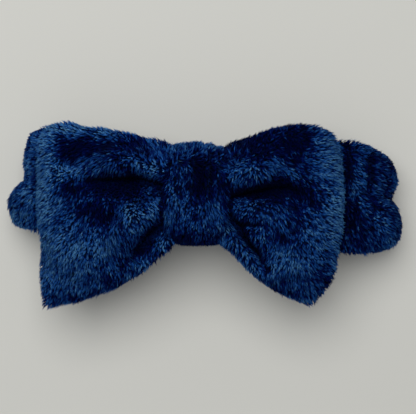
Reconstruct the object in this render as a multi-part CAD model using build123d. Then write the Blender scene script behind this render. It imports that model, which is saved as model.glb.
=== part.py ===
from build123d import *
import os

# A fleece bow headband, lying flat: the back ply rests on z = 0, the front ply and the bow lie
# over it. +X runs along the band, +Y across it, towards the upper edge of the bow. Millimetres.

# Driving dimensions
LOOP_LENGTH = 235.0      # outside length of the flat loop
BAND_WIDTH = 66.0        # across the fleece sleeve
SLEEVE = 12.0            # thickness of the padded sleeve
PLY_GAP = 14.0           # height between the back ply and the front ply
BEND_X = 40.0            # where each ply bends as the loop opens, from the middle
BACK_CENTRE_LENGTH = 30.0
CLEAR = 0.3              # between pieces that move
BAND_Y = 15.5            # the band's centre line, so that the bow and band are centred on Y

# Elastic and its channel in the back ply
ELASTIC_WIDTH, ELASTIC_THICK = 22.0, 1.2
CHANNEL_WIDTH, CHANNEL_HEIGHT = 26.0, 3.0
ELASTIC_END = 101.5      # from the middle
CHANNEL_END = 104.5
TACK = 0.8               # height of a row of stitches

# Knot
KNOT_X, KNOT_Y = -4.5, BAND_Y - 3.0
KNOT_LENGTH = 35.0
KNOT_WIDTH, KNOT_HEIGHT, KNOT_WALL = 56.8, 40.0, 4.2
KNOT_BOTTOM = 21.5
NECK_WIDTH = 46.0        # the front ply where the knot gathers it
FRONT_CENTRE_LENGTH = 4.0

# Bow
BOW_BOTTOM = 39.2
PINCH_WIDTH, PINCH_HEIGHT = 42.0, 16.7
PINCH_MID_Z = 47.65
WING_HINGE = 28.0        # from the knot's centre
WING_HINGE_RADIUS = 9.3

# Sections of each wing: distance from the knot's centre, lower and upper edge, top of the wing
LEFT_WING = [
    (28.0, -27.0, 27.0, 57.8),
    (42.5, -50.0, 32.0, 60.0),
    (70.0, -64.0, 36.0, 60.5),
    (82.0, -66.0, 35.0, 57.0),
    (89.0, -45.0, 25.0, 51.0),
]
RIGHT_WING = [
    (28.0, -27.0, 27.0, 57.8),
    (42.5, -47.0, 39.0, 60.0),
    (66.0, -58.0, 41.0, 60.5),
    (76.0, -42.0, 34.0, 57.0),
    (83.0, -25.0, 20.0, 51.0),
]

# Heights and places that follow
BACK_Z = SLEEVE / 2
FRONT_Z = SLEEVE + PLY_GAP + SLEEVE / 2
END_X = LOOP_LENGTH / 2 - SLEEVE / 2
INNER_END = BEND_X - SLEEVE / 2 - CLEAR


def sleeve_section(x, width, thick, z_mid, y_mid=BAND_Y):
    """A rounded strip, seen along the band."""
    plane = Plane(origin=(x, y_mid, z_mid), x_dir=(0, 1, 0), z_dir=(1, 0, 0))
    return plane * SlotOverall(width, thick)


def straight_sleeve(x_start, x_end, z_mid, width=BAND_WIDTH, thick=SLEEVE, y_mid=BAND_Y):
    section = sleeve_section(x_start, width, thick, z_mid, y_mid)
    return extrude(section, amount=x_end - x_start, dir=(1, 0, 0))


def hinged_sleeve(x_start, x_end, z_mid):
    """A straight sleeve whose ends are round about the two bend lines."""
    reach = SLEEVE / 2
    sleeve = straight_sleeve(x_start - reach, x_end + reach, z_mid)
    middle = (x_start + x_end) / 2
    plane = Plane(origin=(middle, BAND_Y + BAND_WIDTH / 2, z_mid), x_dir=(1, 0, 0), z_dir=(0, -1, 0))
    side_view = plane * SlotOverall(x_end - x_start + SLEEVE, SLEEVE)
    return sleeve & extrude(side_view, amount=BAND_WIDTH)


def block(x_range, y_range, z_range):
    corners = list(zip(x_range, y_range, z_range))
    size = [high - low for low, high in zip(*corners)]
    middle = [(low + high) / 2 for low, high in zip(*corners)]
    return Pos(*middle) * Box(*size)


def channel(x_start, x_end):
    """The space that the elastic runs in."""
    half = CHANNEL_WIDTH / 2
    height = CHANNEL_HEIGHT / 2
    return block((x_start, x_end), (BAND_Y - half, BAND_Y + half), (BACK_Z - height, BACK_Z + height))


def mirrored(shape):
    return mirror(shape, about=Plane.YZ)


def back_centre():
    half = BACK_CENTRE_LENGTH / 2
    return straight_sleeve(-half, half, BACK_Z) - channel(-half - 1, half + 1)


def back_inner():
    start = BACK_CENTRE_LENGTH / 2 + CLEAR
    return straight_sleeve(start, INNER_END, BACK_Z) - channel(start - 1, INNER_END + 1)


def back_outer():
    return hinged_sleeve(BEND_X, END_X, BACK_Z) - channel(BEND_X - SLEEVE, CHANNEL_END)


def band_end():
    """The upright fold that joins the back ply to the front ply."""
    z_low = SLEEVE + CLEAR
    z_high = SLEEVE + PLY_GAP - CLEAR
    plane = Plane(origin=(END_X, BAND_Y, z_low), x_dir=(0, 1, 0), z_dir=(0, 0, 1))
    return extrude(plane * SlotOverall(BAND_WIDTH, SLEEVE), amount=z_high - z_low)


def front_outer():
    return hinged_sleeve(BEND_X, END_X, FRONT_Z)


def front_inner(side):
    """The front ply beside the knot, which narrows to go through it. side is -1 or 1."""
    inner = KNOT_X + side * (FRONT_CENTRE_LENGTH / 2 + CLEAR)
    neck = KNOT_X + side * (KNOT_LENGTH / 2 + CLEAR)
    outer = side * INNER_END
    gather = loft([
        sleeve_section(outer, BAND_WIDTH, SLEEVE, FRONT_Z),
        sleeve_section(neck, NECK_WIDTH, SLEEVE, FRONT_Z, KNOT_Y),
    ], ruled=True)
    low, high = sorted((inner, neck))
    return gather + straight_sleeve(low, high, FRONT_Z, NECK_WIDTH, SLEEVE, KNOT_Y)


def front_centre():
    half = FRONT_CENTRE_LENGTH / 2
    return straight_sleeve(KNOT_X - half, KNOT_X + half, FRONT_Z, NECK_WIDTH, SLEEVE, KNOT_Y)


def elastic(x_start, x_end):
    half = ELASTIC_WIDTH / 2
    height = ELASTIC_THICK / 2
    return block((x_start, x_end), (BAND_Y - half, BAND_Y + half), (BACK_Z - height, BACK_Z + height))


def elastic_stitch():
    """Two rows of stitches, above and below the elastic's outer end."""
    low = BACK_Z - ELASTIC_THICK / 2 - TACK
    high = BACK_Z + ELASTIC_THICK / 2
    x_range = (ELASTIC_END - 4.0, ELASTIC_END - 2.0)
    y_range = (BAND_Y - 10.0, BAND_Y + 10.0)
    rows = [block(x_range, y_range, (z, z + TACK)) for z in (low, high)]
    return Compound(children=rows)


def closing_seam():
    return block((-1.5, 1.5), (BAND_Y - 26.0, BAND_Y + 26.0), (SLEEVE, SLEEVE + TACK))


def bow_middle():
    start, end = KNOT_X - KNOT_LENGTH / 2 + 0.7, KNOT_X + KNOT_LENGTH / 2 - 0.7
    return straight_sleeve(start, end, PINCH_MID_Z, PINCH_WIDTH, PINCH_HEIGHT, KNOT_Y)


def bow_closing_seam():
    """A flat seam under the pinched middle, beside the cinch thread."""
    top = PINCH_MID_Z - PINCH_HEIGHT / 2
    x_range = (KNOT_X + 3.0, KNOT_X + 6.0)
    return block(x_range, (KNOT_Y - 10.0, KNOT_Y + 10.0), (top - TACK, top))


def cinch_thread():
    """Turns of thread round the bow's middle."""
    turns = 2.0
    outer = straight_sleeve(KNOT_X - turns / 2, KNOT_X + turns / 2, PINCH_MID_Z,
                            PINCH_WIDTH + 2.2, PINCH_HEIGHT + 2.2, KNOT_Y)
    inner = straight_sleeve(KNOT_X - turns, KNOT_X + turns, PINCH_MID_Z,
                            PINCH_WIDTH + 0.2, PINCH_HEIGHT + 0.2, KNOT_Y)
    return outer - inner


def knot_wrap():
    """A strip of fleece that goes round the bow's middle and the band's front ply."""
    start = KNOT_X - KNOT_LENGTH / 2
    origin = (start, KNOT_Y, KNOT_BOTTOM + KNOT_HEIGHT / 2)
    plane = Plane(origin=origin, x_dir=(0, 1, 0), z_dir=(1, 0, 0))
    inner_width, inner_height = KNOT_WIDTH - 2 * KNOT_WALL, KNOT_HEIGHT - 2 * KNOT_WALL
    ring = RectangleRounded(KNOT_WIDTH, KNOT_HEIGHT, 12.0)
    ring -= RectangleRounded(inner_width, inner_height, 8.0)
    return extrude(plane * ring, amount=KNOT_LENGTH, dir=(1, 0, 0))


def knot_back_stitch():
    half = KNOT_LENGTH / 2 - 2.5
    x_range = (KNOT_X - half, KNOT_X + half)
    return block(x_range, (KNOT_Y - 1.5, KNOT_Y + 1.5), (KNOT_BOTTOM - TACK, KNOT_BOTTOM))


def wing(side, sections):
    """One soft loop of the bow, round about its bend line beside the knot."""
    profiles = []
    for reach, y_low, y_high, z_top in sections:
        x = KNOT_X + side * reach
        y_mid = KNOT_Y + (y_low + y_high) / 2
        z_mid = (BOW_BOTTOM + z_top) / 2
        profiles.append(sleeve_section(x, y_high - y_low, z_top - BOW_BOTTOM, z_mid, y_mid))
    body = loft(profiles, ruled=True)
    centre = (KNOT_X + side * WING_HINGE, KNOT_Y, BOW_BOTTOM + WING_HINGE_RADIUS)
    root = Pos(*centre) * Rot(90, 0, 0) * Cylinder(WING_HINGE_RADIUS, 44.0)
    return body + root


def parts():
    inner, outer, end, front = back_inner(), back_outer(), band_end(), front_outer()
    elastic_side = elastic(BEND_X + SLEEVE / 2, ELASTIC_END)
    stitch = elastic_stitch()
    return {
        "band_back_centre": back_centre(),
        "band_back_inner_left": mirrored(inner),
        "band_back_inner_right": inner,
        "band_back_left": mirrored(outer),
        "band_back_right": outer,
        "band_end_left": mirrored(end),
        "band_end_right": end,
        "band_front_left": mirrored(front),
        "band_front_right": front,
        "band_front_inner_left": front_inner(-1),
        "band_front_inner_right": front_inner(1),
        "band_front_centre": front_centre(),
        "elastic_centre": elastic(-INNER_END, INNER_END),
        "elastic_left": mirrored(elastic_side),
        "elastic_right": elastic_side,
        "elastic_stitch_left": mirrored(stitch),
        "elastic_stitch_right": stitch,
        "closing_seam": closing_seam(),
        "bow_middle": bow_middle(),
        "bow_closing_seam": bow_closing_seam(),
        "bow_wing_left": wing(-1, LEFT_WING),
        "bow_wing_right": wing(1, RIGHT_WING),
        "cinch_thread": cinch_thread(),
        "knot_wrap": knot_wrap(),
        "knot_back_stitch": knot_back_stitch(),
    }


os.makedirs("parts", exist_ok=True)
for name, shape in parts().items():
    export_step(shape, f"parts/{name}.step")
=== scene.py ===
import math

import bpy
import mathutils
import numpy as np
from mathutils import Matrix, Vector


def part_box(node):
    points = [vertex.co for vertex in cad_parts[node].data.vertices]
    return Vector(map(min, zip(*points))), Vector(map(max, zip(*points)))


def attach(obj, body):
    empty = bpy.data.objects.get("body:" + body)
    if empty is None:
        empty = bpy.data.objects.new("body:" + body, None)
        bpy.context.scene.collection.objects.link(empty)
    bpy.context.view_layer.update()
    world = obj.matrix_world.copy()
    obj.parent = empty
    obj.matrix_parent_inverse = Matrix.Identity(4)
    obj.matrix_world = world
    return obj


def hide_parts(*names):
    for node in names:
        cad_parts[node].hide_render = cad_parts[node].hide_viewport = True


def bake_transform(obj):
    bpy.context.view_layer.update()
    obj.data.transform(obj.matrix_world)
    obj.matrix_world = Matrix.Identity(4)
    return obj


# A navy fleece bow headband lying flat. Shapes are worked out in millimetres from the frame's
# boxes, and meshes are written in metres. The sleeve is one skin, cut into lengths.

MM = 0.001
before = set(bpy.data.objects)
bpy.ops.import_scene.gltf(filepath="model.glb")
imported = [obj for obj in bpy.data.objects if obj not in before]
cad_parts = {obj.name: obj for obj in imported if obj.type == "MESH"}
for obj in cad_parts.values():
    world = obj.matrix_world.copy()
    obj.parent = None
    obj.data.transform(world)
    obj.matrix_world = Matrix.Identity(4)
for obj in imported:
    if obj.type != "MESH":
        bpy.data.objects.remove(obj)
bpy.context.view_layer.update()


def box_mm(node):
    low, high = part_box(node)
    return np.array(low) / MM, np.array(high) / MM


def middle(node):
    low, high = box_mm(node)
    return (low + high) / 2


# ---- places, from the frame
BACK_LOW, BACK_HIGH = box_mm("band_back_right")
FRONT_LOW, FRONT_HIGH = box_mm("band_front_right")
END_LOW, END_HIGH = box_mm("band_end_right")
KNOT_LOW, KNOT_HIGH = box_mm("knot_wrap")
KNOT = (KNOT_LOW + KNOT_HIGH) / 2
BAND_Y = (BACK_LOW[1] + BACK_HIGH[1]) / 2
BACK_Z = (BACK_LOW[2] + BACK_HIGH[2]) / 2
FRONT_Z = (FRONT_LOW[2] + FRONT_HIGH[2]) / 2
HINGE_X = (END_LOW[0] + END_HIGH[0]) / 2
BEND_X = BACK_LOW[0] + (BACK_HIGH[2] - BACK_LOW[2]) / 2
BACK_INNER_X = middle("band_back_inner_right")[0]
MID_LINK_X = (BEND_X + HINGE_X) / 2
NECK_WIDTH = np.ptp(np.array(box_mm("band_front_centre"))[:, 1])
WING_Z = 48.5             # height of the wings' bend lines


# ---- fleece
PILE_LENGTH = 4.7
PILE_STAND = 2.2          # how far the pile's tips stand off the skin
SEED = 20


def smooth_noise(points, scale, seed):
    """A soft field of about -1 to 1 with lumps about scale mm across."""
    rng = np.random.default_rng(seed)
    waves = 9
    directions = rng.normal(size=(waves, 3))
    directions /= np.linalg.norm(directions, axis=1)[:, None]
    numbers = 2 * math.pi / scale * rng.uniform(0.45, 1.15, waves)
    phases = rng.uniform(0, 2 * math.pi, waves)
    angles = points @ (directions * numbers[:, None]).T + phases
    return np.sin(angles).sum(axis=1) / math.sqrt(waves / 2) / 1.6


def squarer(values, power):
    """A sine or cosine drawn out towards -1 and 1, which makes a round section squarer."""
    return np.sign(values) * np.abs(values) ** power


def smoothstep(low, high, values):
    t = np.clip((values - low) / (high - low), 0, 1)
    return t * t * (3 - 2 * t)


def in_scene(name, data):
    made = bpy.data.objects.new(name, data)
    bpy.context.scene.collection.objects.link(made)
    return made


def new_object(name, vertices, faces, material):
    mesh = bpy.data.meshes.new(name)
    mesh.from_pydata((vertices * MM).tolist(), [], faces)
    mesh.materials.append(material)
    mesh.polygons.foreach_set("use_smooth", [True] * len(mesh.polygons))
    mesh.update()
    return in_scene(name, mesh)


def tube_faces(rings, count):
    """Quads of a tube of rings, with its two ends closed."""
    faces = []
    for i in range(rings - 1):
        for j in range(count):
            k = (j + 1) % count
            faces.append((i * count + j, i * count + k, (i + 1) * count + k, (i + 1) * count + j))
    faces.append(tuple(reversed(range(count))))
    faces.append(tuple(range((rings - 1) * count, rings * count)))
    return faces


def node(tree, kind, **inputs):
    made = tree.nodes.new(kind)
    for key, value in inputs.items():
        made.inputs[key].default_value = value
    return made


def ramp(tree, stops):
    made = tree.nodes.new("ShaderNodeValToRGB")
    elements = made.color_ramp.elements
    while len(elements) < len(stops):
        elements.new(0.5)
    for element, (place, colour) in zip(elements, stops):
        element.position = place
        element.color = (*colour, 1.0)
    return made


FLEECE_SHINE = 0.006
SHEEN, SHEEN_ROUGHNESS = 0.02, 0.45
SHEEN_TINT = (0.25, 0.55, 1.0, 1.0)
# Tone to colour: tones carry random differences between wisps as well as painted light and shade, the
# lowest near black for painted shade
TONES = [
    (0.0, (0.001, 0.004, 0.045)), (0.3, (0.005, 0.026, 0.190)), (0.6, (0.13, 0.34, 0.68)),
    (1.0, (1.0, 1.0, 1.0)),
]
# Strand colour from root to tip: painted shade at the roots and a painted highlight at the tips
SHADED_ROOT_BLUE = (0.0001, 0.0004, 0.008)
MID_BLUE = (0.0010, 0.016, 0.130)
LIT_TIP_BLUE = (0.180, 0.550, 1.000)


def new_material(name, roughness):
    material = bpy.data.materials.new(name)
    material.use_nodes = True
    shader = material.node_tree.nodes["Principled BSDF"]
    shader.inputs["Roughness"].default_value = roughness
    return material, material.node_tree, shader


def patterned_material(name, roughness, pattern, stops, space="Object", bands=None, **inputs):
    """A material coloured by one texture, through a ramp."""
    material, tree, shader = new_material(name, roughness)
    texture = node(tree, pattern, **inputs)
    if bands:
        texture.bands_direction = bands
    place = tree.nodes.new("ShaderNodeTexCoord")
    tree.links.new(place.outputs[space], texture.inputs["Vector"])
    colours = ramp(tree, stops)
    tree.links.new(texture.outputs["Fac"], colours.inputs["Fac"])
    tree.links.new(colours.outputs["Color"], shader.inputs["Base Color"])
    return material


def make_fleecy(material):
    """Hardly any shine, and a faint blue sheen."""
    inputs = material.node_tree.nodes["Principled BSDF"].inputs
    inputs["Specular IOR Level"].default_value = FLEECE_SHINE
    inputs["Sheen Weight"].default_value = SHEEN
    inputs["Sheen Roughness"].default_value = SHEEN_ROUGHNESS
    inputs["Sheen Tint"].default_value = SHEEN_TINT


def pile_material():
    """Colour from each tuft's own map: u runs from painted shade at the root to a painted highlight at
    the tip, v is the tuft's tone.
    """
    material, tree, shader = new_material("fleece_pile", 0.75)
    make_fleecy(material)
    place = tree.nodes.new("ShaderNodeUVMap")
    place.uv_map = "OFBake"
    split = tree.nodes.new("ShaderNodeSeparateXYZ")
    tree.links.new(place.outputs["UV"], split.inputs[0])
    # painted shade towards each strand's root and a painted highlight at its tip
    height = ramp(tree, [(0.0, SHADED_ROOT_BLUE), (0.45, MID_BLUE), (0.9, LIT_TIP_BLUE)])
    tree.links.new(split.outputs["X"], height.inputs["Fac"])
    tone = ramp(tree, TONES)
    tree.links.new(split.outputs["Y"], tone.inputs["Fac"])
    mix = tree.nodes.new("ShaderNodeMix")
    mix.data_type, mix.blend_type = "RGBA", "MULTIPLY"
    mix.inputs["Factor"].default_value = 1.0
    tree.links.new(height.outputs["Color"], mix.inputs["A"])
    tree.links.new(tone.outputs["Color"], mix.inputs["B"])
    tree.links.new(mix.outputs["Result"], shader.inputs["Base Color"])
    return material


def skin_material():
    """The knitted back of the fleece, dark between the tufts."""
    stops = [(0.3, (0.0004, 0.002, 0.020)), (0.7, (0.001, 0.009, 0.055))]
    material = patterned_material("fleece_skin", 0.9, "ShaderNodeTexNoise", stops,
                                  Scale=900.0, Detail=3.0)
    make_fleecy(material)
    return material


PILE = pile_material()
SKIN = skin_material()


# ---- pile
WISPS = 1.0               # wisps to a square millimetre where the pile is looked at
STRANDS = 5               # strands in a wisp
MAX_WISPS = 3900          # in one piece, which keeps a piece under 200,000 faces
WISP_RADIUS = 0.60
STRAND_WIDTH = 0.20       # half width of a strand at its foot
SIDES = 3
FLOOR_GAP = 0.15
LAY_SCATTER = 0.17        # how far single wisps turn from the way they are combed
RISE_SCATTER = 0.13
TONE_SCATTER = 0.165      # between wisps
STRAND_TONE_SCATTER = 0.05


def unit(vectors):
    return vectors / (np.linalg.norm(vectors, axis=1)[:, None] + 1e-12)


def spread_points(vertices, faces, density, rng):
    """Even random places on a mesh of quads: point and normal. density is asked of the middles."""
    quads = np.array([f for f in faces if len(f) == 4])
    a, b, c, d = (vertices[quads[:, i]] for i in range(4))
    first = np.stack([a, a], axis=1).reshape(-1, 3)
    second = np.stack([b, c], axis=1).reshape(-1, 3)
    third = np.stack([c, d], axis=1).reshape(-1, 3)
    cross = np.cross(second - first, third - first)
    areas = np.linalg.norm(cross, axis=1) / 2
    normals = cross / (2 * areas[:, None] + 1e-12)
    shares = np.cumsum(areas * density((first + second + third) / 3, normals))
    count = int(shares[-1])
    pick = np.searchsorted(shares, (np.arange(count) + rng.random(count)) * shares[-1] / count)
    pick = np.minimum(pick, len(areas) - 1)
    r1, r2 = np.sqrt(rng.random(count)), rng.random(count)
    points = (1 - r1)[:, None] * first[pick] + (r1 * (1 - r2))[:, None] * second[pick]
    points += (r1 * r2)[:, None] * third[pick]
    return points, normals[pick]


def tip_reach(leans):
    """How far along its lay a wisp's tip lies, as a share of its length."""
    return 0.30 + 0.58 * leans


def strand_points(roots, rises, lays, lengths, leans, rng):
    """Tapering strands, a few to each root, drawn together into a wisp: root, strand, vertex, xyz."""
    count = len(roots)
    across = unit(np.cross(rises, lays) + 1e-6)
    other = unit(np.cross(across, rises))
    foot = roots - rises * 0.5
    middle_at = (rises * (0.52 - 0.14 * leans) + lays * (0.10 + 0.16 * leans)) * lengths
    tip_at = (rises * (0.80 - 0.36 * leans) + lays * tip_reach(leans)) * lengths
    strands = []
    for _ in range(STRANDS):
        angle = rng.uniform(0, 2 * math.pi, count)[:, None]
        away = (WISP_RADIUS * np.sqrt(rng.random(count)))[:, None]
        offset = (across * np.cos(angle) + other * np.sin(angle)) * away
        reach = rng.uniform(0.80, 1.12, count)[:, None]
        stray = rng.normal(scale=0.16, size=(count, 3))
        line = [foot + offset, roots + offset * 0.72 + middle_at * reach,
                roots + offset * 0.42 + stray + tip_at * reach]
        turn = rng.uniform(0, 2 * math.pi, count)
        rings = []
        for centre, width in zip(line, (STRAND_WIDTH, STRAND_WIDTH * 0.9)):
            for side in range(SIDES):
                at = (turn + 2 * math.pi * side / SIDES)[:, None]
                rings.append(centre + (across * np.cos(at) + other * np.sin(at)) * width)
        rings.append(line[2])
        strands.append(np.stack(rings, axis=1))
    return np.stack(strands, axis=1)


def strand_faces():
    """The closed faces of one strand: its foot, its sides and its point."""
    faces = [(2, 1, 0)]
    for i in range(SIDES):
        k = (i + 1) % SIDES
        faces += [(i, k, SIDES + k), (i, SIDES + k, SIDES + i), (SIDES + i, SIDES + k, 2 * SIDES)]
    return np.array(faces)


def pile_object(name, strands, tones):
    """One mesh of strands. Its map holds each strand's height and tone, for the pile's colours."""
    per = strands.shape[-2]
    points = strands.reshape(-1, 3) * MM
    each = np.arange(len(points) // per)[:, None, None] * per
    corners = (strand_faces()[None, :, :] + each).reshape(-1, 3)
    mesh = bpy.data.meshes.new(name)
    mesh.vertices.add(len(points))
    mesh.vertices.foreach_set("co", points.astype(np.float32).ravel())
    mesh.loops.add(corners.size)
    mesh.loops.foreach_set("vertex_index", corners.astype(np.int32).ravel())
    mesh.polygons.add(len(corners))
    mesh.polygons.foreach_set("loop_start", np.arange(0, corners.size, 3, dtype=np.int32))
    mesh.polygons.foreach_set("use_smooth", np.ones(len(corners), bool))
    heights = np.array([0.0] * SIDES + [0.5] * SIDES + [1.0])
    u = heights[corners % per].ravel() * 0.96 + 0.02
    v = tones.ravel()[corners // per].ravel()
    layer = mesh.uv_layers.new(name="OFBake")
    layer.data.foreach_set("uv", np.stack([u, v], axis=1).astype(np.float32).ravel())
    mesh.materials.append(PILE)
    mesh.update()
    mesh.validate()
    return in_scene(name, mesh)


def grow_pile(name, vertices, faces, lay_of, tone_of, density_of, seed, length_of=None):
    """A coat of wisps over a skin. The fields give each wisp's lay, tone and share of the length."""
    rng = np.random.default_rng(seed)
    points, normals = spread_points(vertices, faces, density_of, rng)
    order = np.argsort(points[:, 0])
    points, normals = points[order], normals[order]
    count = len(points)
    lays = lay_of(points, normals) + rng.normal(scale=LAY_SCATTER, size=(count, 3))
    lays = unit(lays - (lays * normals).sum(axis=1)[:, None] * normals)
    rises = unit(normals + rng.normal(scale=RISE_SCATTER, size=(count, 3)))
    lengths = (PILE_LENGTH * rng.uniform(0.8, 1.15, count))[:, None]
    if length_of:
        lengths = lengths * length_of(points)[:, None]
    leans = np.clip(0.62 + 0.35 * smooth_noise(points, 18, seed + 5), 0.1, 1.0)[:, None]
    strands = strand_points(points, rises, lays, lengths, leans, rng)
    strands[..., 2] = np.maximum(strands[..., 2], FLOOR_GAP)
    tips = points + 0.8 * lays * lengths * tip_reach(leans)
    clumps = 0.10 * smooth_noise(points, 5.5, seed + 7)
    tones = tone_of(tips, normals) + clumps + rng.normal(scale=TONE_SCATTER, size=count)
    tones = tones[:, None] + rng.normal(scale=STRAND_TONE_SCATTER, size=(count, STRANDS))
    tones = np.clip(tones, 0.02, 0.98)
    slices = math.ceil(count / MAX_WISPS)
    pieces = []
    for i, rows in enumerate(np.array_split(np.arange(count), slices)):
        piece_name = f"{name}_{i + 1}" if slices > 1 else name
        pieces.append(pile_object(piece_name, strands[rows], tones[rows]))
    return pieces


# ---- smooth curves and fields
def smooth_between(knots, values, at):
    """A smooth curve through values at rising knots, read at any places between them."""
    knots, values = np.array(knots, float), np.array(values, float)
    slopes = np.gradient(values, knots, axis=0)
    i = np.clip(np.searchsorted(knots, at, side="right") - 1, 0, len(knots) - 2)
    more = (...,) + (None,) * (values.ndim - 1)
    span = (knots[i + 1] - knots[i])[more]
    f = (at - knots[i])[more] / span
    start, end = values[i], values[i + 1]
    return ((2 * f**3 - 3 * f**2 + 1) * start + (f**3 - 2 * f**2 + f) * slopes[i] * span
            + (3 * f**2 - 2 * f**3) * end + (f**3 - f**2) * slopes[i + 1] * span)


def smooth_line(points, t):
    """A smooth curve through points, at t from 0 to 1 by length."""
    points = np.array(points, float)
    steps = np.linalg.norm(np.diff(points, axis=0), axis=1)
    return smooth_between(np.concatenate([[0], np.cumsum(steps)]) / steps.sum(), points, t)


def patches_at(plan, patches):
    """The sum of soft patches: each has its middle, its half lengths and its strength."""
    total = np.zeros(len(plan))
    for (x, y), (across, along), strength in patches:
        total += strength * np.exp(-((plan[:, 0] - x) / across) ** 2 - ((plan[:, 1] - y) / along) ** 2)
    return total


def combed(plan, strokes, spread=11.0):
    """Directions blended from brush strokes: each has its place and its direction."""
    places = np.array([place for place, _ in strokes], float)
    ways = np.array([way for _, way in strokes], float)
    gaps = ((plan[:, None, :] - places[None, :, :]) ** 2).sum(axis=2)
    weights = np.exp(-gaps / (2 * spread**2)) + 1e-6
    return weights @ ways / weights.sum(axis=1)[:, None]


# ---- the band's sleeve
ARC_RADIUS = (FRONT_Z - BACK_Z) / 2
STRAIGHT = HINGE_X - ARC_RADIUS
ARC = math.pi * ARC_RADIUS
LOOP = 4 * STRAIGHT + 2 * ARC
SLEEVE_HALF = (BACK_HIGH[2] - BACK_LOW[2]) / 2 - PILE_STAND * 0.75
SLEEVE_WIDTH = np.ptp([BACK_LOW[1], BACK_HIGH[1]]) - 2 * PILE_STAND
AROUND = 48
# How much shorter each end is, from the lower edge (-1) to the upper edge (1). Each makes two
# lobes with a notch between them.
LEFT_END = [(-1.0, 8.5), (-0.87, 4.0), (-0.73, 2.8), (-0.54, 2.2), (-0.3, 4.4), (-0.1, 7.0),
            (0.12, 9.4), (0.3, 9.2), (0.5, 9.2), (0.75, 10.2), (0.92, 11.2), (1.0, 14.0)]
RIGHT_END = [(-1.0, 9.0), (-0.85, 3.2), (-0.55, 0.8), (-0.22, 2.4), (0.04, 5.4), (0.25, 4.6),
             (0.45, 4.8), (0.7, 7.6), (0.88, 12.2), (1.0, 18.0)]


def loop_point(s):
    """Centre line of the sleeve at length s from the back's middle, towards +X: x, z and outward."""
    s = np.mod(s, LOOP)
    turn_1 = (s - STRAIGHT) / ARC_RADIUS
    turn_2 = (s - 3 * STRAIGHT - ARC) / ARC_RADIUS
    mid_z = (FRONT_Z + BACK_Z) / 2
    on_back = s < STRAIGHT
    on_right = (s >= STRAIGHT) & (s < STRAIGHT + ARC)
    on_front = (s >= STRAIGHT + ARC) & (s < 3 * STRAIGHT + ARC)
    on_left = (s >= 3 * STRAIGHT + ARC) & (s < 3 * STRAIGHT + 2 * ARC)
    cases = [on_back, on_right, on_front, on_left]
    x = np.select(cases, [s, STRAIGHT + ARC_RADIUS * np.sin(turn_1), 2 * STRAIGHT + ARC - s,
                          -STRAIGHT - ARC_RADIUS * np.sin(turn_2)], s - LOOP)
    z = np.select(cases, [BACK_Z + 0 * s, mid_z - ARC_RADIUS * np.cos(turn_1), FRONT_Z + 0 * s,
                          mid_z + ARC_RADIUS * np.cos(turn_2)], BACK_Z + 0 * s)
    out_x = np.select(cases, [0 * s, np.sin(turn_1), 0 * s, -np.sin(turn_2)], 0 * s)
    out_z = np.select(cases, [0 * s - 1, -np.cos(turn_1), 0 * s + 1, np.cos(turn_2)], 0 * s - 1)
    return x, z, out_x, out_z


# Gathers across the sleeve: x, which ply, half width along the band, middle and half length
# across it (from -1 to 1), and depth
GATHERS = [
    (84, True, 2.2, 0.54, 0.34, 3.0),
    (88.5, True, 2.0, -0.33, 0.34, 3.6),
    (97.5, True, 1.7, 0.50, 0.36, 2.8),
    (100, True, 1.6, -0.36, 0.36, 2.2),
    (80, True, 2.4, -0.62, 0.35, 2.4),
    (106, True, 1.4, 0.30, 0.30, 1.4),
    (-106, True, 1.3, -0.56, 0.20, 1.6),
] + [
    (x, False, 2.4, 0.12 * (-1) ** i, 0.75, 1.8)
    for i, x in enumerate(range(-96, 100, 12))
]


def gathered(x, v, on_front):
    """How deep the gathers are at each point of the sleeve."""
    depth = np.zeros_like(x)
    for at, front, spread, middle_v, reach, deep in GATHERS:
        wander = at + 1.6 * np.sin(3.0 * v + at)
        along = np.exp(-((x - wander) / spread) ** 2)
        over = np.exp(-((v - middle_v) / reach) ** 4)
        depth = depth + deep * along * over * (on_front == front)
    return depth


def sleeve_points(lengths):
    """Rings of the skin at the given lengths along the loop."""
    angle = np.linspace(0, 2 * math.pi, AROUND, endpoint=False)
    s = np.repeat(lengths[:, None], AROUND, axis=1)
    v = squarer(np.cos(angle), 0.82)
    v = np.repeat(v[None, :], len(lengths), axis=0)
    side = np.repeat(squarer(np.sin(angle), 0.80)[None, :], len(lengths), axis=0)
    x, z, out_x, out_z = loop_point(s)
    on_front = out_z > 0.5
    far = smoothstep(45, 100, np.abs(x))
    near_knot = np.where(on_front, 1 - smoothstep(16, 42, np.abs(x - KNOT[0])), 0)
    valley = np.exp(-((v - 0.05) / 0.15) ** 2)
    half = SLEEVE_HALF * (1 + 0.16 * far) * (1 - (0.22 + 0.34 * far) * valley)
    half = half - gathered(x, v, on_front)
    slim = 1 - smoothstep(18, 88, np.abs(x))
    width = SLEEVE_WIDTH * (1 - 0.14 * slim) * (1 - near_knot) + (NECK_WIDTH - 3) * near_knot
    centre_y = BAND_Y - 3.6 * slim * (1 - near_knot) + (KNOT[1] - BAND_Y) * near_knot
    place = np.stack([x, v * 30, z], axis=-1).reshape(-1, 3)
    lump = smooth_noise(place, 26, SEED).reshape(x.shape)
    small = smooth_noise(place, 9, SEED + 1).reshape(x.shape)
    offset = side * half * (1 + 0.10 * lump) + 0.35 * small * np.sign(side)
    y = centre_y + v * width / 2 + 0.5 * lump
    y = y + 3.6 * smoothstep(70, 104, -x) * np.clip(-v, 0, 1)
    short = np.where(x < 0, smooth_between(*zip(*LEFT_END), v), smooth_between(*zip(*RIGHT_END), v))
    reach = smoothstep(66, STRAIGHT + ARC_RADIUS, np.abs(x))
    x = x + out_x * offset - np.sign(x) * short * reach
    z = z + out_z * offset
    return np.stack([x, y, z], axis=-1)


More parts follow.
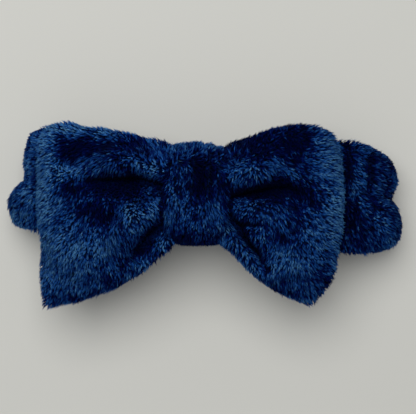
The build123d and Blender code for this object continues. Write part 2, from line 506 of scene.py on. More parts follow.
def sleeve_lay(points, normals):
    lay = np.zeros_like(points)
    lay[:, 0] = np.sign(points[:, 0]) * (0.55 + 0.3 * smooth_noise(points, 60, SEED + 2))
    lay[:, 1] = (points[:, 1] - BAND_Y) / 40 - 0.45 + 0.35 * smooth_noise(points, 45, SEED + 3)
    lay[:, 2] = -0.3 * np.abs(normals[:, 0])
    return lay


# Patches of painted light and shade on the sleeve: the light and dark of turned nap, painted shade
# beside the wings' edges and a painted highlight along the upper edge. Each has its middle, its half
# lengths and how much lighter it is.
SLEEVE_NAP_SHADING = [
    ((82, 14), (5, 30), -0.20), ((81.5, 12), (2.2, 26), -0.34), ((98, 16.5), (14, 1.8), -0.30),
    ((108, 14), (5, 6), -0.16), ((90, 34), (4.5, 11), 0.12), ((106, 38), (7, 10), -0.16),
    ((92, 0), (6, 14), -0.10), ((87, 20), (5, 5), 0.26), ((-108, 12), (12, 44), 0.16),
    ((-97.5, 6), (3.2, 34), -0.32), ((-95, 16), (12, 18), 0.20), ((0, 45), (60, 4), 0.06),
]


def sleeve_tone(points, normals):
    v = (points[:, 1] - BAND_Y) / (SLEEVE_WIDTH / 2)
    on_front = points[:, 2] > (FRONT_Z + BACK_Z) / 2
    value = 0.44 + 0.11 * smooth_noise(points, 28, SEED + 4) + 0.09 * smooth_noise(points, 10, SEED + 6)
    # painted shade in the hollows of the gathers
    value -= 0.19 * gathered(points[:, 0], v, on_front)
    return value + patches_at(points[:, :2], SLEEVE_NAP_SHADING)


def sleeve_density(points, normals):
    """Full where the sleeve looks up or out at its ends, thin inside the loop and underneath."""
    inside = (points[:, 2] > BACK_Z) & (points[:, 2] < FRONT_Z) & (np.abs(normals[:, 2]) > 0.4)
    inside &= np.abs(points[:, 0]) < STRAIGHT
    under = points[:, 2] < BACK_Z
    under_bow = np.abs(points[:, 0]) < 68
    share = np.select([inside, under, under_bow], [0.32, 0.40, 0.60], 1.0)
    return WISPS * share


def sleeve_length(points):
    """Shorter inside the loop's ends, where opening the loop draws the fleece out."""
    inside = np.abs(points[:, 2] - (FRONT_Z + BACK_Z) / 2) < ARC_RADIUS
    x = np.abs(points[:, 0])
    return 1 - 0.72 * inside * smoothstep(62, 76, x) * (1 - smoothstep(STRAIGHT, HINGE_X, x))


# At the loop's ends, two slanted lines: where the turn starts on the back ply's middle line, and
# the step from there to the line where it is complete
TURN_START = (HINGE_X - 22, BACK_Z)
TURN_WAY = (3.3, 8.9)
BEND_HALF = 13            # how far the span reaches each side of the back ply's bend line
FRONT_BEND_OUT, FRONT_BEND_IN = 12, 10
SLIDE_END = 1.0           # how far in from each end the slide spans start


def stretch_of_sleeve(name, s_start, s_end, body_a, body_b, start, end, nodes):
    """One length of the sleeve with its pile, attached to body_a only when there is no body_b."""
    count = max(6, int(abs(s_end - s_start) / 1.3))
    points = sleeve_points(np.linspace(s_start, s_end, count)).reshape(-1, 3)
    faces = tube_faces(count, AROUND)
    if s_end > s_start:
        faces = [tuple(reversed(face)) for face in faces]
    skin = new_object(name, points, faces, SKIN)
    pile = grow_pile(name + "_pile", points, faces, sleeve_lay, sleeve_tone, sleeve_density,
                     SEED + len(name), sleeve_length)
    for piece in [skin] + pile:
        if body_b:
            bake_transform(piece)
        else:
            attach(piece, body_a)
    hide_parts(*nodes)


def slide_span(sign):
    """The span beside the back centre, on the left (-1) or the right (1)."""
    return (sign * SLIDE_END, BAND_Y, BACK_Z), (sign * (BACK_INNER_X - SLIDE_END), BAND_Y, BACK_Z)


def back_bend_span(sign):
    return (sign * (BEND_X - BEND_HALF), BAND_Y, BACK_Z), (sign * (BEND_X + BEND_HALF), BAND_Y, BACK_Z)


def make_sleeve():
    y = BAND_Y
    neck_x = (KNOT_HIGH[0] + BEND_X) / 2
    for sign, word in ((-1, "left"), (1, "right")):
        s_inner, s_mid = sign * BACK_INNER_X, sign * MID_LINK_X
        s_end = sign * (STRAIGHT + ARC / 2)
        s_front = sign * (2 * STRAIGHT + ARC)
        s_neck = s_front - (-neck_x if sign < 0 else neck_x)
        stretch_of_sleeve(
            f"fleece_back_{word}", 0.0, s_inner, "back_centre", f"back_inner_{word}",
            *slide_span(sign),
            [f"band_back_inner_{word}"] + (["band_back_centre"] if sign < 0 else []))
        stretch_of_sleeve(
            f"fleece_bend_{word}", s_inner, s_mid, f"back_inner_{word}", f"back_{word}",
            *back_bend_span(sign), [f"band_back_{word}"])
        x_in, z_in = sign * TURN_START[0], TURN_START[1]
        x_out, z_out = sign * (TURN_START[0] + TURN_WAY[0]), TURN_START[1] + TURN_WAY[1]
        stretch_of_sleeve(
            f"fleece_fold_low_{word}", s_mid, s_end, f"back_{word}", f"end_{word}",
            (x_in, y, z_in), (x_out, y, z_out), [f"band_end_{word}"])
        top = FRONT_Z + BACK_Z
        stretch_of_sleeve(
            f"fleece_fold_high_{word}", s_end, s_front - s_mid, f"end_{word}", f"front_{word}",
            (x_out, y, top - z_out), (x_in, y, top - z_in), [f"band_front_{word}"])
        stretch_of_sleeve(
            f"fleece_front_{word}", s_front - s_mid, s_neck, f"front_{word}", f"front_inner_{word}",
            (sign * (BEND_X + FRONT_BEND_OUT), y, FRONT_Z),
            (sign * (BEND_X - FRONT_BEND_IN), y, FRONT_Z),
            [f"band_front_inner_{word}"])
        if sign < 0:
            stretch_of_sleeve(
                "fleece_neck_left", s_neck, s_front - KNOT[0], "front_inner_left", "knot",
                (-neck_x, y, FRONT_Z), (KNOT[0] - 3, y, FRONT_Z), ["band_front_centre"])
        else:
            stretch_of_sleeve(
                "fleece_neck_right", s_neck, s_front - KNOT[0] - 1.0, "front_inner_right",
                None, None, None, [])


make_sleeve()


# ---- the bow's wings
# Outlines, folds and strokes are (reach from the knot's middle, height across the band), in mm.
TOP, OUTER, BOTTOM = "top", "outer", "bottom"
LEFT_SHAPE = {
    TOP: [(10, 19), (17.5, 25.4), (32.5, 28.2), (47, 31), (63, 32.6), (76, 34), (83, 33)],
    OUTER: [(83, 33), (87.3, 27), (88.3, 12), (87.3, -8), (84.3, -30), (84.3, -50), (82, -67.5)],
    BOTTOM: [(10, -20), (14.5, -30), (20, -35), (29, -43.5), (43, -53), (61, -61), (82, -67.5)],
}
RIGHT_SHAPE = {
    TOP: [(10, 19), (17.5, 27), (32.5, 32.5), (42, 36.8), (54, 39.4), (65, 39.8)],
    OUTER: [(65, 39.8), (73, 36.5), (77.5, 26), (80, 10), (80.6, -8), (79.5, -27), (77, -44),
            (67.5, -58.5)],
    BOTTOM: [(10, -20), (15, -25), (22, -30), (33, -40), (47, -50), (67.5, -58.5)],
}
# Each fold: its line, the depth at each point, and its width on the upper and the lower side
LEFT_FOLDS = [
    ([(16, 3), (30, 6), (42, 6), (55, 5), (68, 2)], [7, 13, 13, 8, 0], 3.4, 9.5),
    ([(17, -17), (26, -24.5), (32, -32.5), (37, -42)], [9, 14, 12, 1], 4.0, 7.0),
    ([(40, -9), (48, -17), (52, -24)], [1, 5, 0.5], 4.0, 5.0),
    ([(60, 14), (72, 13), (78, 8)], [1, 3.5, 0.5], 5.0, 5.0),
    ([(28, 24), (50, 25), (74, 22)], [1.5, 3, 1], 4.0, 6.0),
    ([(19, 13), (33, 14), (48, 15), (62, 14)], [-2.5, -4, -2.5, 0], 6.0, 4.0),
    ([(19, -9), (33, -15), (50, -30), (66, -45)], [-3, -4, -3.0, 0], 7.0, 8.0),
]
RIGHT_FOLDS = [
    ([(16, -2), (28, 1.5), (40, 5), (52, 7), (64, 3)], [7, 14, 14, 8, 0], 3.0, 8.0),
    ([(20, -12), (30, -15.5), (40, -16)], [3, 7, 0], 2.6, 4.0),
    ([(17, -8), (23, -16), (29, -23.5), (36.5, -31.5), (42, -41)], [6, 11, 14, 13, 0], 2.8, 3.2),
    ([(50, 6), (60, -3), (67, -9)], [1, 5, 0.5], 6.0, 7.0),
    ([(52, -10), (56, -18), (50, -26)], [1, 4, 0.5], 4.5, 4.5),
    ([(18, 10), (32, 13), (48, 16)], [-3.0, -4.0, 0], 6.0, 4.0),
    ([(19, -5), (34, -6), (48, -7)], [-2.0, -3.0, 0], 4.5, 4.5),
    ([(20, -29), (33, -40), (46, -49)], [-1.5, -2.5, 0], 3.5, 3.5),
]
# Each patch of painted light and shade: its middle, its half lengths and how much lighter it is.
# They stand for turned nap catching or losing the light, with painted highlights on the top and
# outer rims and painted shade along the lower rim
LEFT_NAP_SHADING = [
    ((71, 20), (9.5, 6), -0.52), ((56, 23), (15, 4.6), -0.48), ((38, 26.5), (13, 3.6), -0.38),
    ((30, 21), (9, 3.5), -0.24), ((47, 16), (5.5, 4), -0.36), ((65, 32), (26, 3.2), 0.32),
    ((86, 20), (3.6, 13), 0.30), ((67, 6), (8, 4.5), 0.40), ((30, 13), (9, 4.6), 0.30),
    ((44, 1), (24, 5.0), -0.58), ((26, 1), (6, 5), 0.36), ((72, -2), (9, 3.0), -0.30),
    ((58, -13), (13, 7.5), -0.52), ((57, -8), (9, 1.6), 0.20), ((50, -20), (5, 8), -0.38),
    ((38, -4.5), (12, 3.6), -0.36), ((31, -15.5), (11, 4.2), 0.30), ((25, -26), (3, 7), -0.44),
    ((38, -35), (7, 12), -0.30), ((46, -30), (10, 6), 0.16), ((85, -5), (6, 26), 0.32),
    ((66, -34), (22, 13), 0.24), ((65, -62), (22, 3.4), -0.26), ((44, -52), (12, 4.0), -0.16),
    ((18, -29), (4, 6), 0.12),
]
RIGHT_NAP_SHADING = [
    ((36, 27), (21, 8.5), -0.58), ((56, 30), (9, 9), -0.36), ((60, 36), (14, 3), -0.12),
    ((72, 30), (9, 10), 0.16), ((30, 12), (15, 4.0), 0.24), ((47, 16.5), (9, 3.0), 0.12),
    ((34, 1.0), (15, 2.8), -0.42), ((57, 19), (6, 4), -0.34), ((73, 20), (8, 17), 0.24),
    ((80, -10), (6, 26), 0.36), ((53, 4), (11, 5.5), -0.56), ((66, -2), (7, 5), -0.20),
    ((28, -5.5), (9, 3.6), 0.18), ((44, -5), (12, 6), -0.20), ((32, -15), (8, 2.6), -0.34),
    ((57.5, -15), (3.6, 8), -0.34), ((51, -25), (8, 4.5), -0.34), ((67, -22), (12, 8), 0.22),
    ((52, -38), (14, 6), 0.22), ((38, -23), (5, 4), 0.04), ((20, -19), (5, 14), 0.16),
    ((32, -38), (8, 5), 0.26), ((75, -46), (4, 5), -0.24), ((50, -51), (11, 2.6), -0.20),
]
# Lines where two folds of fleece meet and little light gets in: the line, its half width and how
# dark it is
LEFT_CREASES = [
    ([(61, 4.5), (54, 4.5), (45, 6.5), (38, 8.8), (31, 8.2), (20, 4.0)], 2.3, 0.8),
    ([(17.5, -16), (23, -21), (27, -27), (29.5, -35)], 2.3, 0.8),
    ([(15, 20), (16.5, 13), (18.5, 4), (18.5, -16)], 1.6, 0.4),
]
RIGHT_CREASES = [
    ([(17, -0.5), (26, 3), (35, 6), (43, 7.8), (51, 8.0)], 2.3, 0.8),
    ([(17, -7), (21, -13.3), (27, -20.5), (32.3, -27), (37.2, -31.6), (42, -40)], 2.1, 1.2),
    ([(22, -14.5), (29, -15.6), (36, -15.6)], 1.2, 0.7),
    ([(14.5, 27), (15.5, 14), (18, 2), (18, -7)], 1.5, 0.4),
]
# The way the pile is brushed: each stroke's place and direction, outward and upward
LEFT_STROKES = [
    ((18, 22), (0.1, 0.9)), ((34, 27), (0.4, 0.5)), ((55, 31), (1, 0.2)), ((80, 30), (1, 0.5)),
    ((60, 20), (0.9, -0.2)), ((32, 13), (-0.1, -1)), ((88, 5), (1, -0.35)), ((64, 4), (0.2, -0.9)),
    ((44, -4), (0.2, -0.8)), ((80, -20), (0.75, -0.75)), ((62, -28), (0.4, -0.95)),
    ((78, -50), (0.6, -0.8)), ((55, -50), (0.1, -1)), ((34, -34), (-0.2, -1)), ((22, -14), (-0.4, -0.8)),
]
RIGHT_STROKES = [
    ((20, 24), (0.1, 0.9)), ((36, 31), (0.3, 0.8)), ((56, 36), (0.7, 0.6)), ((68, 34), (0.9, 0.3)),
    ((46, 24), (0.8, -0.2)), ((30, 11), (0.0, -1)), ((50, 14), (0.3, -0.9)), ((76, 15), (0.9, -0.4)),
    ((80, -10), (0.9, -0.45)), ((45, -4), (0.5, -0.8)), ((26, -8), (0.0, -0.9)),
    ((76, -38), (0.65, -0.75)), ((60, -25), (0.4, -0.9)), ((62, -48), (0.3, -0.95)),
    ((42, -34), (0.1, -1)), ((28, -34), (-0.5, -0.85)),
]
WING_RINGS = 76
WING_AROUND = 144
WING_HALF = 9.2
WING_START = 13           # from the knot's middle: nearer in, the pile is hidden
WING_RISE = 1.2           # of the wings' middle over their bend lines
CORNER_DROOP = 7.0


def patch_points(shape, u, w):
    """A point in the wing's plan: u runs outward from the knot, w from the top edge to the bottom."""
    top, bottom = smooth_line(shape[TOP], u), smooth_line(shape[BOTTOM], u)
    outer = smooth_line(shape[OUTER], w)
    start_top, start_bottom = np.array(shape[TOP][0], float), np.array(shape[BOTTOM][0], float)
    inner = start_top + (start_bottom - start_top) * w[..., None]
    u, w = u[..., None], w[..., None]
    sides = (1 - w) * top + w * bottom + (1 - u) * inner + u * outer
    ends = ((1 - u) * ((1 - w) * start_top + w * start_bottom)
            + u * ((1 - w) * np.array(shape[OUTER][0]) + w * np.array(shape[OUTER][-1])))
    return sides - ends


def fold_depth(plan, line, depths, upper, lower):
    """How deep a fold is at each point of the plan."""
    line = np.array(line, float)
    best = np.full(len(plan), 1e9)
    depth = np.zeros(len(plan))
    for i, (a, b) in enumerate(zip(line[:-1], line[1:])):
        d = b - a
        t = np.clip(((plan - a) @ d) / (d @ d), 0, 1)
        gap = plan - (a + t[:, None] * d)
        distance = np.linalg.norm(gap, axis=1)
        is_upper = (d[0] * gap[:, 1] - d[1] * gap[:, 0]) > 0
        scaled = distance / np.where(is_upper, upper, lower)
        here = depths[i] + (depths[i + 1] - depths[i]) * t
        nearer = scaled < best
        best = np.where(nearer, scaled, best)
        depth = np.where(nearer, here, depth)
    return depth * np.exp(-best**2)


def wing_skin(side, shape, folds, seed):
    angle = np.linspace(0, 2 * math.pi, WING_AROUND, endpoint=False)
    u = np.sin(np.linspace(0, math.pi / 2 * 0.985, WING_RINGS)) ** 0.9
    u = u / u[-1]
    w = (1 - squarer(np.cos(angle), 0.85)) / 2
    lift = squarer(np.sin(angle), 0.62)
    uu, ww = np.repeat(u[:, None], WING_AROUND, axis=1), np.repeat(w[None, :], WING_RINGS, axis=0)
    plan = patch_points(shape, uu, ww).reshape(-1, 2)
    lifts = np.repeat(lift[None, :], WING_RINGS, axis=0).ravel()
    rim = np.sqrt(np.clip(1 - uu.ravel() ** 9, 0.004, 1))
    points = np.stack([plan[:, 0] * side, plan[:, 1], plan[:, 0] * 0], axis=1)
    lump = smooth_noise(points, 30, seed)
    small = smooth_noise(points, 11, seed + 1)
    pinch = 0.50 + 0.50 * smoothstep(15, 37, plan[:, 0])
    half = WING_HALF * rim * pinch * (1 + 0.13 * lump)
    z = lifts * half + 0.5 * small * np.sign(lifts) * np.abs(lifts)
    on_top = smoothstep(0.0, 0.6, lifts) * smoothstep(0, 0.5, rim)
    under = smoothstep(0.0, 0.6, -lifts) * smoothstep(0, 0.5, rim)
    for line, depths, upper, lower in folds:
        depth = fold_depth(plan, line, depths, upper, lower)
        z = z - depth * on_top + 0.30 * depth * under
    # the corners that no band is under hang a little
    droop = smoothstep(24, 68, -plan[:, 1]) * CORNER_DROOP
    points[:, 2] = np.maximum(z, -WING_HALF) + WING_Z + WING_RISE - droop
    points[:, 0] += KNOT[0]
    points[:, 1] += KNOT[1]
    return points


def wing_faces():
    faces = tube_faces(WING_RINGS, WING_AROUND)[:-1]
    last = (WING_RINGS - 1) * WING_AROUND
    half = WING_AROUND // 2
    faces.append((last, last + 1, last + WING_AROUND - 1))
    for j in range(1, half - 1):
        faces.append((last + j, last + j + 1, last + WING_AROUND - j - 1, last + WING_AROUND - j))
    faces.append((last + half - 1, last + half, last + half + 1))
    return faces


def wing_plan(points, side):
    return np.stack([(points[:, 0] - KNOT[0]) * side, points[:, 1] - KNOT[1]], axis=1)


def folded_in(points, side, folds):
    """How deep in a fold of the wing's face each point is, from 0 to 1."""
    plan = wing_plan(points, side)
    deepest = np.zeros(len(points))
    for line, depths, upper, lower in folds:
        deepest = np.maximum(deepest, fold_depth(plan, line, depths, upper, lower))
    return np.clip(deepest / 14, 0, 1) * (points[:, 2] > WING_Z - 6)


def creased(points, side, creases):
    """How near each point is to a crease, from 0 to 1."""
    plan = wing_plan(points, side)
    nearest = np.zeros(len(points))
    for line, width, dark in creases:
        nearest = np.maximum(nearest, fold_depth(plan, line, [dark] * len(line), width, width))
    return nearest * (points[:, 2] > WING_Z - 6)


def make_wing(word, side, shape, folds, creases, nap_shading, strokes, base, seed):
    def lay(points, normals):
        outward = combed(wing_plan(points, side), strokes)
        swirl = 0.25 * smooth_noise(points, 30, seed + 2)
        level = [side * (outward[:, 0] + swirl), outward[:, 1] + swirl]
        return np.stack([*level, -0.3 + 0 * swirl], axis=1)

    def tone(points, normals):
        value = base + 0.06 * smooth_noise(points, 24, seed + 3)
        value += 0.05 * smooth_noise(points, 9, seed + 4)
        # painted shade in the folds and along the creases, then the patches of painted light and shade
        value -= 0.36 * folded_in(points, side, folds) + creased(points, side, creases)
        return value + patches_at(wing_plan(points, side), nap_shading)

    def density(points, normals):
        reach = (points[:, 0] - KNOT[0]) * side
        share = np.where(normals[:, 2] < -0.3, 0.5, 1.0)
        return WISPS * share * (reach > WING_START)

    def length(points):
        return 1 - 0.40 * folded_in(points, side, folds) - 0.3 * creased(points, side, creases)

    points = wing_skin(side, shape, folds, seed)
    faces = wing_faces()
    if side < 0:
        faces = [tuple(reversed(face)) for face in faces]
    skin = new_object(f"fleece_wing_{word}", points, faces, SKIN)
    pile = grow_pile(skin.name + "_pile", points, faces, lay, tone, density, seed, length)
    for piece in [skin] + pile:
        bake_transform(piece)
    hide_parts(f"bow_wing_{word}")


make_wing("left", -1, LEFT_SHAPE, LEFT_FOLDS, LEFT_CREASES, LEFT_NAP_SHADING, LEFT_STROKES, 0.50, 101)
# The right wing's lower base tone is painted shade, on the side away from the key light
make_wing("right", 1, RIGHT_SHAPE, RIGHT_FOLDS, RIGHT_CREASES, RIGHT_NAP_SHADING, RIGHT_STROKES, 0.450, 202)


# ---- the knot
KNOT_RINGS = 110
KNOT_AROUND = 72
KNOT_THICK = 3.4
KNOT_SEED = 303
# The folds down the knot's front: place across it (-1 to 1), half width, depth and lowest height
KNOT_FOLDS = [(0.14, 0.13, 4.2, -0.55), (0.56, 0.11, 2.8, -0.35), (-0.42, 0.13, 1.2, -0.9)]
# Patches of painted light and shade on the knot: turned nap on its face, a painted highlight along its
# top edge, painted shade along its lower edge and its sides. Each has its middle, its half lengths and
# how much lighter it is.
KNOT_NAP_SHADING = [
    ((4, 9), (8.5, 15), -0.46), ((3, 6), (4, 12), -0.25), ((-9, 3), (5, 13), 0.02),
    ((0, 26), (18, 3), 0.10), ((3, -12), (14, 6), 0.08), ((2, -25), (22, 5), -0.40),
    ((14, 13), (3.5, 11), -0.14), ((-17, 6), (2.0, 15), -0.32), ((17, 2), (2.0, 15), -0.14),
]


def knot_skin():
    """A strip that goes round the bow's middle: rings round the strip's section."""
    size = (KNOT_HIGH - KNOT_LOW) / 2
    path = np.linspace(0, 2 * math.pi, KNOT_RINGS, endpoint=False)
    turn = np.linspace(0, 2 * math.pi, KNOT_AROUND, endpoint=False)
    p, t = np.meshgrid(path, turn, indexing="ij")
    y_path, z_path = squarer(np.cos(p), 0.62), squarer(np.sin(p), 0.62)
    across, out = squarer(np.cos(t), 0.7), squarer(np.sin(t), 0.6)
    front = np.clip(smoothstep(0.1, 0.8, np.sin(p)) + 0.25, 0, 1)
    fold = np.zeros_like(across)
    for at, spread, depth, lowest in KNOT_FOLDS:
        lean = at + 0.05 * y_path
        upper = smoothstep(lowest, lowest + 0.9, y_path)
        fold += depth * np.exp(-((across - lean) / spread) ** 2) * upper
    outer = smoothstep(-0.2, 0.8, out)
    bulge = 1.6 * (1 - across**2) * outer
    rise = KNOT_THICK / 2 * out + bulge - fold * front * np.where(out > 0, outer, 0.8)
    waist = 1 - 0.05 * np.cos(p) ** 2
    x = KNOT[0] + across * (size[0] - 1.2) * waist
    skin_y = size[1] - PILE_STAND - KNOT_THICK / 2 - 0.8
    skin_z = size[2] - PILE_STAND - KNOT_THICK / 2 - 0.8
    norm_y, norm_z = y_path / skin_y, z_path / skin_z
    length = np.sqrt(norm_y**2 + norm_z**2)
    y = KNOT[1] + y_path * skin_y + norm_y / length * rise
    z = KNOT[2] + z_path * skin_z + norm_z / length * rise
    points = np.stack([x, y, z], axis=-1).reshape(-1, 3)
    points[:, 2] += 0.35 * smooth_noise(points, 14, KNOT_SEED)
    return points


def ring_faces(rings, count):
    faces = []
    for i in range(rings):
        for j in range(count):
            k, m = (j + 1) % count, (i + 1) % rings
            faces.append((i * count + j, i * count + k, m * count + k, m * count + j))
    return faces


def knot_lay(points, normals):
    height = points[:, 1] - KNOT[1]
    lay = np.zeros_like(points)
    lay[:, 0] = 0.3 * smooth_noise(points, 30, KNOT_SEED + 1)
    lay[:, 1] = np.clip((height - 17) / 9, -1.0, 0.9)
    lay[:, 2] = np.where(points[:, 2] > KNOT[2], -0.2, 0.4)
    return lay


def knot_tone(points, normals):
    value = 0.43 + 0.08 * smooth_noise(points, 16, KNOT_SEED + 2)
    value += 0.08 * smooth_noise(points, 8, KNOT_SEED + 3)
    plan = points[:, :2] - KNOT[:2]
    return value + patches_at(plan, KNOT_NAP_SHADING)


def knot_density(points, normals):
    """None on the face that looks into the knot."""
    inward = ((points[:, 1] - KNOT[1]) * normals[:, 1] + (points[:, 2] - KNOT[2]) * normals[:, 2]) < 0
    under = points[:, 2] < KNOT[2] - 8
    return WISPS * np.where(inward, 0.0, np.where(under, 0.6, 1.0))


def make_knot():
    points = knot_skin()
    faces = ring_faces(KNOT_RINGS, KNOT_AROUND)
    skin = new_object("fleece_knot", points, faces, SKIN)
    pile = grow_pile("fleece_knot_pile", points, faces, knot_lay, knot_tone, knot_density,
                     KNOT_SEED + 101)
    for piece in [skin] + pile:
        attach(piece, "knot")
    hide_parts("knot_wrap")


make_knot()


# ---- the bow's middle, elastic and thread
MIDDLE_REACH = 9.5        # from the knot's middle to the wings' inner ends
MIDDLE_Z = 47.2
MIDDLE_HALF = (14.5, 3.2)  # half width and half height where the thread pinches it
MIDDLE_END_HALF = (19.0, 4.4)
THREAD_RADIUS = 0.35
MIDDLE_RINGS, MIDDLE_AROUND = 21, 64
PLEATS = 11
CINCH_TURNS = 4
STITCH_PITCH = 4.0
TACK_HEIGHT = 0.6         # of the tacks' thread from the elastic's middle
ELASTIC_WALES = 44        # ribs across the elastic, counting ridges and grooves


def thread_material():
    """Twisted polyester thread."""
    stops = [(0.2, (0.003, 0.010, 0.055)), (0.8, (0.012, 0.035, 0.130))]
    return patterned_material("thread", 0.5, "ShaderNodeTexWave", stops, bands="DIAGONAL",
                              Scale=600.0, Distortion=1.0)


def elastic_material():
    """White woven elastic, whose picks cross its ribs."""
    stops = [(0.15, (0.58, 0.58, 0.56)), (0.85, (0.78, 0.78, 0.76))]
    return patterned_material("woven_elastic", 0.7, "ShaderNodeTexWave", stops, bands="X",
                              Scale=400.0, Distortion=0.6)


def tube(line, radius, beside, sides=8):
    """A round tube along a line. beside is a direction that the line never runs in."""
    along = unit(np.gradient(line, axis=0))
    across = unit(np.cross(along, beside))
    other = np.cross(along, across)
    angle = np.linspace(0, 2 * math.pi, sides, endpoint=False)[None, :, None]
    rings = line[:, None] + radius * (np.cos(angle) * across[:, None] + np.sin(angle) * other[:, None])
    return rings.reshape(-1, 3), tube_faces(len(line), sides)


def joined(shapes):
    """Several shapes as one list of vertices and one list of faces."""
    vertices, faces, start = [], [], 0
    for points, its_faces in shapes:
        vertices.append(points)
        faces += [tuple(start + i for i in face) for face in its_faces]
        start += len(points)
    return np.concatenate(vertices), faces


def stitch_row(start, end, across, pitch, rise):
    """Slanted hand stitches along a line, each an arch over it. across and rise are vectors."""
    start, end, across, rise = (np.array(v, float) for v in (start, end, across, rise))
    count = max(2, int(np.linalg.norm(end - start) / pitch))
    step = (end - start) / count
    t = np.linspace(0, 1, 9)[:, None]
    arch = np.sin(t * math.pi)
    beside = np.cross(step, rise)
    shapes = []
    for i in range(count):
        line = start + step * (i + 0.15 + 0.7 * t) + across * (t - 0.5) * (-1) ** i + rise * arch
        shapes.append(tube(line, THREAD_RADIUS, beside + 0.3 * step))
    return shapes


def make_thread(name, shapes, body, replaced):
    piece = new_object(name, *joined(shapes), THREAD)
    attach(piece, body)
    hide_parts(replaced)


def seam_along_y(box, z, rise):
    x = (box[0][0] + box[1][0]) / 2
    wide = (box[1][0] - box[0][0], 0, 0)
    return stitch_row((x, box[0][1], z), (x, box[1][1], z), wide, STITCH_PITCH, (0, 0, rise))


def oval_path(turn, half_y, half_z, centre):
    """Places round an upright oval, with the x of its centre."""
    y, z = half_y * squarer(np.cos(turn), 0.8), half_z * squarer(np.sin(turn), 0.8)
    return np.stack([centre[0] + 0 * turn, centre[1] + y, centre[2] + z], axis=-1)


def make_middle():
    """The bow's strip between its two loops, gathered in by the thread."""
    rings = []
    turn = np.linspace(0, 2 * math.pi, MIDDLE_AROUND, endpoint=False)
    for place in np.linspace(-1, 1, MIDDLE_RINGS):
        out = smoothstep(0.0, 1.0, np.array(abs(place)))
        half_y = MIDDLE_HALF[0] + (MIDDLE_END_HALF[0] - MIDDLE_HALF[0]) * out
        half_z = MIDDLE_HALF[1] + (MIDDLE_END_HALF[1] - MIDDLE_HALF[1]) * out
        pleat = 1 + 0.07 * (1 - 0.6 * out) * np.cos(PLEATS * turn)[:, None]
        centre = (KNOT[0] + place * MIDDLE_REACH, KNOT[1], MIDDLE_Z + 2.0 * out)
        ring = oval_path(turn, half_y, half_z, centre)
        rings.append(np.array(centre) + (ring - np.array(centre)) * pleat)
    faces = tube_faces(MIDDLE_RINGS, MIDDLE_AROUND)
    piece = new_object("fleece_middle", np.concatenate(rings), faces, SKIN)
    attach(piece, "knot")
    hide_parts("bow_middle")


def make_cinch():
    """Turns of thread round the pinched middle."""
    turn = np.linspace(0, 2 * math.pi * CINCH_TURNS, 72 * CINCH_TURNS)
    half_y, half_z = MIDDLE_HALF[0] + THREAD_RADIUS, MIDDLE_HALF[1] + THREAD_RADIUS
    line = oval_path(turn, half_y, half_z, (KNOT[0], KNOT[1], MIDDLE_Z))
    line[:, 0] += np.linspace(-0.5, 0.5, len(line)) * CINCH_TURNS * 2.2 * THREAD_RADIUS
    make_thread("cinch_turns", [tube(line, THREAD_RADIUS, (1, 0, 0))], "knot", "cinch_thread")


def elastic_strip(name, x_start, x_end, body_a, body_b, start, end, replaced):
    low, high = box_mm("elastic_right")
    centre_y, half_y = (low[1] + high[1]) / 2, (high[1] - low[1]) / 2
    half_z = (high[2] - low[2]) / 2
    across = np.linspace(half_y, -half_y, ELASTIC_WALES + 1)
    ridge = half_z * np.where(np.arange(ELASTIC_WALES + 1) % 2, 1.0, 0.8)
    ring_y = centre_y + np.concatenate([across, across[::-1]])
    ring_z = BACK_Z + np.concatenate([ridge, -ridge[::-1]])
    places = np.linspace(x_start, x_end, max(8, int((x_end - x_start) / 1.5)))
    rings = [np.stack([x + 0 * ring_y, ring_y, ring_z], axis=-1) for x in places]
    piece = new_object(name, np.concatenate(rings), tube_faces(len(places), len(ring_y)), ELASTIC)
    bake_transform(piece)
    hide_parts(*replaced)


def make_elastic():
    """One woven strip inside the back ply, in four lengths that follow the sleeve's links."""
    outer_end = box_mm("elastic_right")[1][0]
    for sign, word in ((-1, "left"), (1, "right")):
        ends = sorted((0.0, sign * BACK_INNER_X))
        elastic_strip(
            f"elastic_inner_{word}", *ends, "back_centre", f"back_inner_{word}",
            *slide_span(sign), ["elastic_centre"] if sign < 0 else [])
        ends = sorted((sign * BACK_INNER_X, sign * outer_end))
        elastic_strip(
            f"elastic_outer_{word}", *ends, f"back_inner_{word}", f"back_{word}",
            *back_bend_span(sign), [f"elastic_{word}"])


def make_stitches():
    for word in ("left", "right"):
        box = box_mm(f"elastic_stitch_{word}")
        top, bottom = BACK_Z + TACK_HEIGHT, BACK_Z - TACK_HEIGHT
        shapes = seam_along_y(box, top, 0.5) + seam_along_y(box, bottom, -0.5)
        make_thread(f"tacking_{word}", shapes, f"back_{word}", f"elastic_stitch_{word}")
    box = box_mm("closing_seam")
    shapes = seam_along_y(box, box[0][2] - 1.0, 1.2)
    make_thread("closing_stitches", shapes, "back_centre", "closing_seam")
    box = box_mm("bow_closing_seam")
    shapes = seam_along_y(box, MIDDLE_Z - MIDDLE_HALF[1] - 0.5, -0.8)
    make_thread("bow_closing_stitches", shapes, "knot", "bow_closing_seam")
    low, high = box_mm("knot_back_stitch")
    y, z = (low[1] + high[1]) / 2, high[2] + 1.0
    shapes = stitch_row((low[0], y, z), (high[0], y, z), (0, high[1] - low[1], 0), 3.5, (0, 0, -1.2))
    make_thread("knot_stitches", shapes, "knot", "knot_back_stitch")


THREAD = thread_material()
ELASTIC = elastic_material()
make_middle()
make_cinch()
make_elastic()
make_stitches()


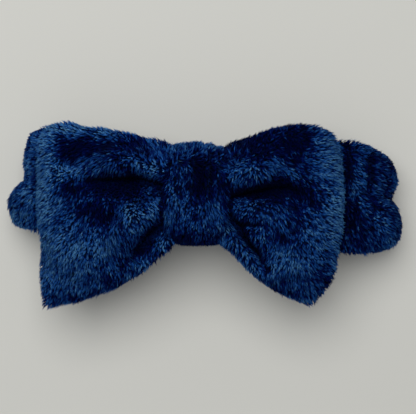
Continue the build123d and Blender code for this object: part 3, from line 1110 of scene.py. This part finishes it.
# ---- stage, light and camera
ROOM_LIGHT = 0.27
KEY_PLACE, KEY_AIM = (-0.20, 0.42, 1.20), (0, 0, 0.03)
KEY_SIZE, KEY_POWER = 1.2, 13.0


def stage_material():
    stops = [(0.3, (0.640, 0.647, 0.618)), (0.7, (0.660, 0.667, 0.638))]
    return patterned_material("pale_floor", 0.8, "ShaderNodeTexNoise", stops, "Generated",
                              Scale=6.0, Detail=2.0)


def area_light(name, at, target, size, power, colour):
    data = bpy.data.lights.new(name, "AREA")
    data.shape, data.size = "DISK", size
    data.energy, data.color = power, colour
    light = in_scene(name, data)
    light.location = at
    aim = mathutils.Vector(target) - mathutils.Vector(at)
    light.rotation_euler = aim.to_track_quat("-Z", "Y").to_euler()


def make_stage():
    floor = new_object("floor", np.array([(-3000, -3000, 0), (3000, -3000, 0), (3000, 3000, 0),
                                          (-3000, 3000, 0)], float), [(0, 1, 2, 3)], stage_material())
    world = bpy.data.worlds.new("studio")
    bpy.context.scene.world = world
    world.use_nodes = True
    background = world.node_tree.nodes["Background"]
    background.inputs["Color"].default_value = (1.0, 1.0, 1.0, 1.0)
    background.inputs["Strength"].default_value = ROOM_LIGHT
    area_light("key", KEY_PLACE, KEY_AIM, KEY_SIZE, KEY_POWER, (1.0, 0.985, 0.96))


CAMERA_HEIGHT = 0.600
VIEW_TURN = math.radians(2.9)
VIEW_WIDTH = 0.2313       # seen at the bow's height
BOW_TOP = 0.058


def make_camera():
    data = bpy.data.cameras.new("camera")
    camera = in_scene("camera", data)
    aim = np.array([6.5, -7.4]) * MM
    c, s = math.cos(VIEW_TURN), math.sin(VIEW_TURN)
    x = KNOT[0] * MM + c * aim[0] - s * aim[1]
    y = KNOT[1] * MM + s * aim[0] + c * aim[1]
    camera.location = (x, y, CAMERA_HEIGHT)
    camera.rotation_euler = (0, 0, VIEW_TURN)
    data.sensor_width = 36.0
    data.lens = 36.0 * (CAMERA_HEIGHT - BOW_TOP) / VIEW_WIDTH
    bpy.context.scene.camera = camera


bpy.context.scene.view_settings.view_transform = "Standard"
make_stage()
make_camera()
